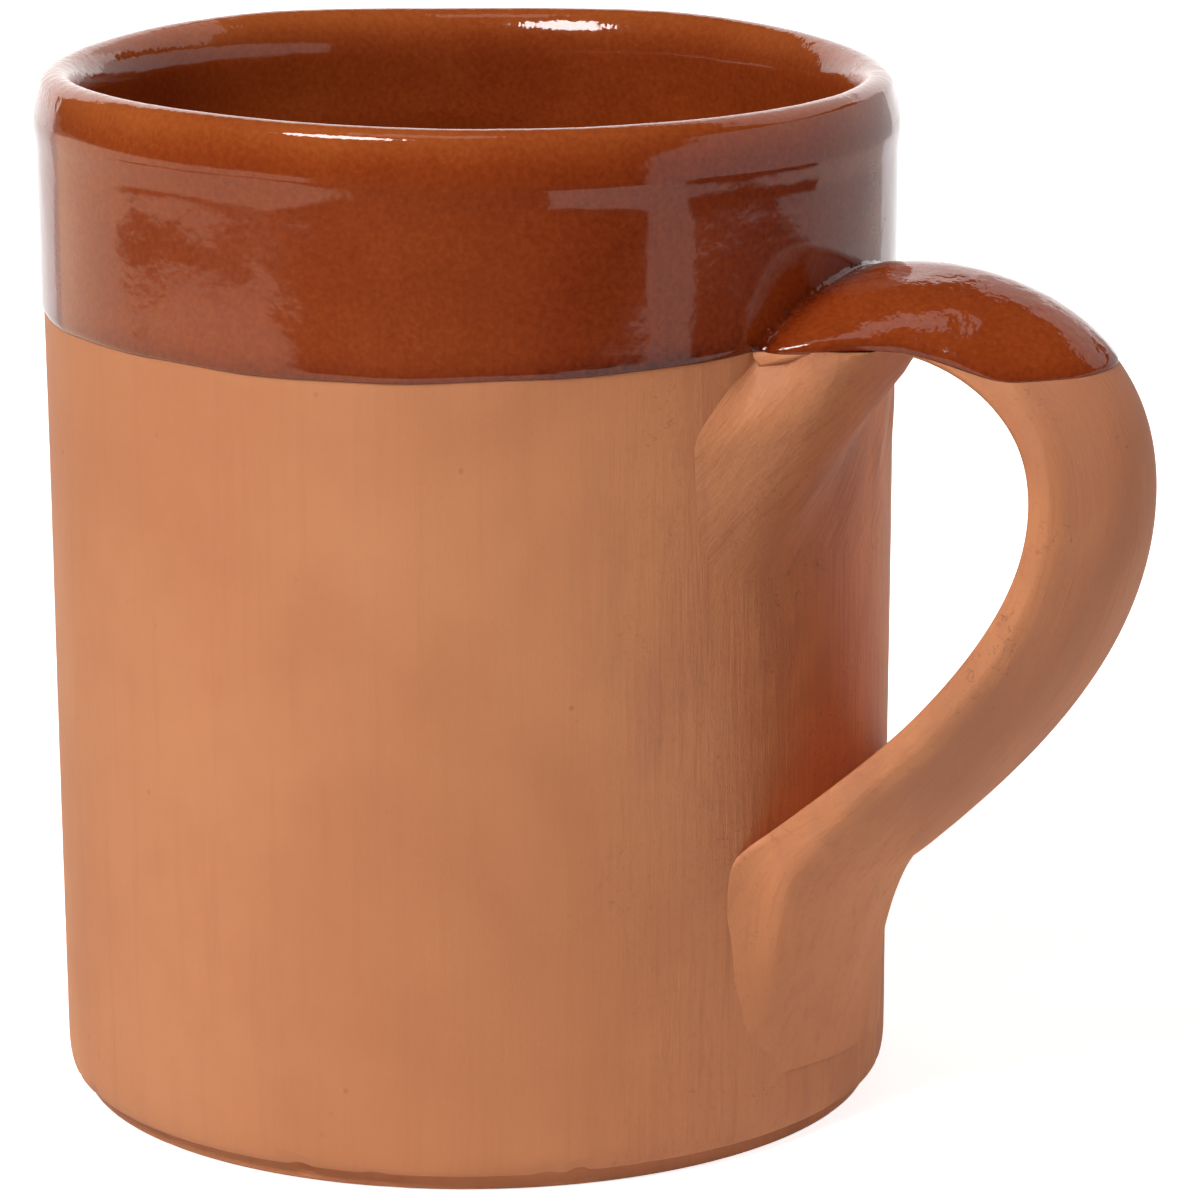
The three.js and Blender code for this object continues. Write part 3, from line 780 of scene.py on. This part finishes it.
def make_clay(name, tint, worked_from, painted_face_shade=0.0, scuffing=1.0):
    """Bare fired red earthenware: matt and mottled, with drag lines, scuffs, crumbs and pores where worked, and
    painted shade that can darken the strap's outer face.
    """
    material = bpy.data.materials.new(name)
    clay = Finish(material)
    place, lay = clay.place(), clay.lay()
    worked = clay.step(clay.part(place, "X"), *worked_from)
    mottle = clay.noise(place, 28.0, 4.0, 0.55)
    patch = clay.noise(place, 110.0, 3.0)
    streak = clay.noise(clay.stretched(lay, (1.0, 0.05, 1.0)), 0.55, 4.0, 0.6)
    drag = clay.noise(clay.stretched(lay, (1.0, 0.05, 1.0)), 1.5, 3.0, 0.6)
    smear = clay.noise(clay.stretched(place, (1.0, 1.0, 0.4)), 75.0, 3.0, 0.5, 1.6)
    scuff = clay.noise(clay.stretched(lay, (1.0, 0.12, 1.0)), 0.5, 4.0, 0.7, 0.5)
    grain = clay.noise(place, 2600.0, 2.0, 0.6)
    crumb = clay.noise(place, 1000.0, 3.0, 0.65)
    speck = clay.node("ShaderNodeTexVoronoi", None, {"Vector": place, "Scale": 420.0}, out="Distance")
    specks = (1 - clay.step(speck, 0.05, 0.16)) * clay.step(clay.noise(place, 90.0), 0.55, 0.7)
    pore = clay.noise(place, 1500.0, 4.0, 0.7, 0.6)
    pores = clay.step(pore, 0.56, 0.66) * clay.step(clay.noise(place, 130.0), 0.54, 0.66) * worked
    pale, warm, deep, dull = (rgb(*(part * tint for part in tone)) for tone in CLAY_TONES)
    base = clay.mix(clay.step(mottle, 0.36, 0.66), pale, warm)
    base = clay.mix(clay.step(patch, 0.45, 0.8) * 0.18, base, deep)
    base = clay.mix(clay.step(streak, 0.48, 0.75) * 0.22, base, deep)
    # Painted shade: the strap's outer face, which turns away from the key light, is drawn darker towards the
    # dull tone and fades out on the tail.
    if painted_face_shade:
        outer_face = clay.step(clay.part(lay, "Z"), 1.8, 2.8)
        above_tail = 1 - clay.step(clay.part(lay, "Y"), 62.0, 76.0)
        base = clay.mix(outer_face * above_tail * painted_face_shade, base, dull)
    base = clay.mix((1 - clay.step(smear, 0.36, 0.52)) * worked * 0.45, base, dull)
    base = clay.mix(clay.step(smear, 0.5, 0.68) * worked * 0.3, base, pale)
    base = clay.mix(clay.step(scuff, 0.5, 0.7) * worked * (0.4 * scuffing), base, deep)
    base = clay.mix(clay.step(drag, 0.5, 0.72) * worked * 0.35, base, deep)
    base = clay.mix(clay.step(crumb, 0.52, 0.72) * worked * 0.35, base, deep)
    base = clay.mix(clay.step(grain, 0.45, 0.8) * 0.12, base, pale)
    base = clay.mix(specks * 0.35 + pores * 0.5, base, rgb(0.22, 0.075, 0.04))
    relief = grain * 0.35 + streak * 0.8 + patch * 0.4 - specks * 0.5
    relief = relief + worked * (drag * 1.3 + crumb * 1.0 + scuff * (1.6 * scuffing)) - pores * 1.6
    clay.surface({
        "Base Color": base,
        "Roughness": 0.56 + mottle * 0.16 - streak * 0.08,
        "Normal": clay.bump(relief, 0.2, 0.0004),
        "IOR": 1.45,
    })
    return material


def make_slip():
    """Dried joining slip, a little darker and rougher than the clay."""
    material = bpy.data.materials.new("joining_slip")
    slip = Finish(material)
    place = slip.place()
    curdle = slip.noise(place, 500.0, 4.0, 0.6)
    base = slip.mix(slip.step(curdle, 0.35, 0.7), rgb(0.42, 0.155, 0.068), rgb(0.30, 0.105, 0.046))
    relief = slip.bump(curdle, 0.3, 0.0003)
    slip.surface({"Base Color": base, "Roughness": 0.7 + curdle * 0.15, "Normal": relief})
    return material


def make_glaze(name, lumpiness):
    """Clear brown glaze over red clay: thin and orange on the crest, dark where it pools and where painted
    shade darkens the band towards the handle, with specks.
    """
    material = bpy.data.materials.new(name)
    glaze = Finish(material)
    place, pool = glaze.place(), glaze.pool()
    cloud = glaze.noise(place, 45.0, 4.0, 0.6)
    fleck = glaze.noise(place, 1800.0, 3.0, 0.6)
    depth = pool + (cloud - 0.5) * 0.5 + (fleck - 0.5) * 0.55
    ramp = {"stops": [
        (0.0, (0.40, 0.095, 0.020)),
        (0.45, (0.27, 0.046, 0.0085)),
        (0.7, (0.20, 0.028, 0.005)),
        (1.0, (0.075, 0.008, 0.0015)),
    ]}
    base = glaze.node("ShaderNodeValToRGB", ramp, {"Fac": depth})
    dot = glaze.node("ShaderNodeTexVoronoi", None, {"Vector": place, "Scale": 330.0}, out="Distance")
    dots = (1 - glaze.step(dot, 0.04, 0.12)) * glaze.step(glaze.noise(place, 60.0), 0.56, 0.66)
    base = glaze.mix(dots * 0.6, base, rgb(0.06, 0.012, 0.004))
    crest = 1 - glaze.step(pool, 0.25, 0.45)
    ripple = glaze.noise(place, 160.0, 2.0) + glaze.noise(place, 650.0, 2.0) * (0.8 + crest * 8)
    ripple = ripple + fleck * 0.05 - dots * 0.2
    glaze.surface({
        "Base Color": base,
        "Roughness": 0.055 + cloud * 0.05 + dots * 0.2,
        "Normal": glaze.bump(ripple, lumpiness, 0.0006),
        "IOR": 1.5,
    })
    return material


def viewed(x, y, z):
    """Point in metres from millimetres to the viewer's right, away from the viewer, and up."""
    return Vector((x * VIEW_RIGHT + y * VIEW_AWAY + z * UPWARDS) * MM)


def add_softbox(
    name, place, aim, size, power, colour=(1.0, 1.0, 1.0), shape="RECTANGLE", mirrored=True,
):
    """Soft lamp at a place, turned to its aim, both in the viewer's millimetres, mirrored or not."""
    lamp = bpy.data.lights.new(name, "AREA")
    lamp.shape = shape
    lamp.size, lamp.size_y = size[0] * MM, size[1] * MM
    lamp.energy = power
    lamp.color = colour
    softbox = bpy.data.objects.new(name, lamp)
    softbox.location = viewed(*place)
    softbox.rotation_mode = "QUATERNION"
    softbox.rotation_quaternion = (viewed(*aim) - softbox.location).to_track_quat("-Z", "Y")
    softbox.visible_glossy = mirrored
    bpy.context.scene.collection.objects.link(softbox)


def add_stage_sheet(name, corners, faces):
    """Flat stage piece from corners in the viewer's millimetres."""
    mesh = bpy.data.meshes.new(name)
    mesh.from_pydata([viewed(*corner) for corner in corners], [], faces)
    sheet = bpy.data.objects.new(name, mesh)
    bpy.context.scene.collection.objects.link(sheet)
    return sheet


def white_stage(name, shade, seen_glow, mirrored_glow, mirrored_tint):
    """Matt white that the camera sees lifted to plain white and the glaze mirrors with its own glow."""
    material = bpy.data.materials.new(name)
    white = Finish(material)
    matt = white.node("ShaderNodeBsdfDiffuse", None, {"Color": rgb(shade, shade, shade)})
    mirror_values = {"Color": rgb(*mirrored_tint), "Strength": mirrored_glow}
    mirrored = white.node("ShaderNodeEmission", None, mirror_values)
    seen = white.node("ShaderNodeEmission", None, {"Color": rgb(1, 1, 1), "Strength": seen_glow})
    kinds = ("Is Camera Ray", "Is Glossy Ray", "Is Transmission Ray")
    rays = [white.node("ShaderNodeLightPath", out=kind) for kind in kinds]
    in_mirror = white.math("MINIMUM", rays[1] + rays[2], 1.0)
    base = white.node("ShaderNodeMixShader", None, {
        0: in_mirror, 1: matt, 2: white.node("ShaderNodeAddShader", None, {0: matt, 1: mirrored}),
    })
    lit = white.node("ShaderNodeAddShader", None, {0: matt, 1: seen})
    shader = white.node("ShaderNodeMixShader", None, {0: rays[0], 1: base, 2: lit})
    white.node("ShaderNodeOutputMaterial", None, {"Surface": shader})
    return material


def add_floor():
    """Plain white table that keeps the mug's shadow, and a white backdrop behind it."""
    ways = ((-1, -1), (1, -1), (1, 1), (-1, 1))
    corners = [(x * TABLE_REACH, y * TABLE_REACH, -TABLE_DROP) for x, y in ways]
    floor = add_stage_sheet("white_table", corners, [(0, 1, 2, 3)])
    floor.data.materials.append(white_stage("white_table", 0.86, 0.78, 0.3, (1.0, 0.85, 0.7)))
    back, half, tall = 800, 720, 700
    corners = [(-half, back, 0), (half, back, 0), (half, back, tall), (-half, back, tall)]
    backdrop = add_stage_sheet("white_backdrop", corners, [(0, 1, 2, 3)])
    backdrop.visible_diffuse = False
    backdrop.data.materials.append(white_stage("white_backdrop", 0.86, 1.0, 1.0, (1.0, 1.0, 1.0)))


def add_dark_mirror_sheet():
    """Dark sheet on the table before and beside the mug, which only reflections see: a painted reflection that
    puts dark patches in the glaze where the camera sees white table.
    """
    corners = [
        (-278, -292, 2), (-300, -293, 2), (-348, -294, 2), (-382, -289, 2), (-410, -193, 2), (-440, -68, 2),
        (-440, 42, 2), (-466, 95, 2), (-499, 110, 2), (-522, 2, 2), (-500, -127, 2), (-462, -268, 2),
        (-430, -344, 2), (-355, -440, 2), (-1500, -1800, 2), (-1500, -2400, 2), (1500, -2400, 2),
        (1500, -1350, 2),
        (309, -298, 2), (110, -300, 2), (90, -215, 2), (-90, -215, 2),
        (252, -158, 2), (360, -228, 2), (470, -262, 2), (503, -205, 2), (522, -56, 2), (474, 91, 2),
        (345, 75, 2), (335, -40, 2), (285, -68, 2),
    ]
    faces = [tuple(range(21, -1, -1)), tuple(range(22, 31))]
    dark_sheet = add_stage_sheet("dark_mirror_sheet", corners, faces)
    dark_sheet.visible_camera = False
    dark_sheet.visible_diffuse = False
    dark_sheet.visible_shadow = False
    material = bpy.data.materials.new("dark_mirror_sheet")
    dark = Finish(material)
    sheet_noise = dark.noise(dark.place(), 300.0)
    base = dark.mix(sheet_noise, rgb(0.02, 0.02, 0.02), rgb(0.04, 0.04, 0.04))
    dark.surface({"Base Color": base, "Roughness": 0.9})
    dark_sheet.data.materials.append(material)


def add_card(name, corners, glow, tint):
    """Pale card that only reflections see."""
    card = add_stage_sheet(name, corners, [tuple(range(len(corners)))])
    card.visible_camera = False
    card.visible_diffuse = False
    card.visible_shadow = False
    material = bpy.data.materials.new(name)
    pale = Finish(material)
    light = pale.node("ShaderNodeEmission", None, {"Color": rgb(*tint), "Strength": glow})
    pale.node("ShaderNodeOutputMaterial", None, {"Surface": light})
    card.data.materials.append(material)


def light_studio():
    """Soft key from the front left, fill from the right, a little light from behind, and a dim white room."""
    middle = (0, 0, 50)
    add_softbox("key_softbox", (-440, -550, 850), middle, (460, 460), 10.9, (1.0, 0.99, 0.99), "DISK")
    add_softbox("right_softbox", (800, -30, 480), middle, (300, 350), 1.9, (1.0, 0.88, 0.86), mirrored=False)
    add_softbox("back_softbox", (0, 760, 350), middle, (1500, 500), 3.0, mirrored=False)
    world = bpy.data.worlds.new("dim_room")
    room = Finish(world)
    dim = room.node("ShaderNodeBackground", None, {"Color": rgb(1, 1, 1), "Strength": 0.02})
    white = room.node("ShaderNodeBackground", None, {"Color": rgb(1, 1, 1), "Strength": 1.0})
    seen = room.node("ShaderNodeLightPath", out="Is Camera Ray")
    shader = room.node("ShaderNodeMixShader", None, {0: seen, 1: dim, 2: white})
    room.node("ShaderNodeOutputWorld", None, {"Surface": shader})
    bpy.context.scene.world = world


def set_camera():
    """Camera at the photograph's place and angle."""
    ahead = np.array([
        math.sin(VIEW_YAW) * math.cos(VIEW_PITCH),
        math.cos(VIEW_YAW) * math.cos(VIEW_PITCH),
        -math.sin(VIEW_PITCH),
    ])
    level = np.array([math.cos(VIEW_YAW), -math.sin(VIEW_YAW), 0.0])
    up = np.cross(level, ahead)
    right = math.cos(VIEW_ROLL) * level + math.sin(VIEW_ROLL) * up
    top = -math.sin(VIEW_ROLL) * level + math.cos(VIEW_ROLL) * up
    axes = [viewed(*axis) / MM for axis in (right, top, -ahead)]
    data = bpy.data.cameras.new("camera")
    data.lens = VIEW_FOCUS * data.sensor_width
    data.clip_start, data.clip_end = 0.01, 20.0
    camera = bpy.data.objects.new("camera", data)
    place = Matrix.Translation(viewed(0, -VIEW_DISTANCE, VIEW_HEIGHT))
    camera.matrix_world = place @ Matrix(axes).transposed().to_4x4()
    bpy.context.scene.collection.objects.link(camera)
    bpy.context.scene.camera = camera


def dress(piece, node, material):
    """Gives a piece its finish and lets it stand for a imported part."""
    piece.data.materials.clear()
    piece.data.materials.append(material)
    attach(piece, "root")
    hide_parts(node)


wall_clay = make_clay("wall_clay", 1.0, (0.024, 0.037))
# Painted light: the strap's clay is a 6% lighter copy of the wall's clay, and its outer face also carries
# painted shade.
strap_clay = make_clay("strap_clay", 1.06, (0.0, 0.001), painted_face_shade=0.8, scuffing=0.7)
rubbed_clay = make_clay("rubbed_clay", 1.0, (0.0, 0.001), scuffing=1.6)
slip = make_slip()
glaze = make_glaze("brown_glaze", 0.03)
lumpy_glaze = make_glaze("lumpy_glaze", 0.2)
dress(make_thrown_body(), "thrown_body", wall_clay)
dress(make_pulled_handle(), "pulled_handle", strap_clay)
dress(make_joint_coil(), "upper_joint_coil", rubbed_clay)
dress(make_liner_glaze(), "liner_glaze", glaze)
dress(make_band_glaze(), "band_glaze", glaze)
dress(make_handle_glaze(), "handle_glaze", lumpy_glaze)
for joint in ("upper_slip_joint", "lower_slip_joint"):
    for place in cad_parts[joint].material_slots:
        place.material = slip

add_floor()
add_dark_mirror_sheet()
for card_name, card_glow, card_tint, card_corners in CARDS:
    add_card(card_name, card_corners, card_glow, card_tint)
light_studio()
set_camera()
bpy.context.scene.view_settings.view_transform = "Standard"
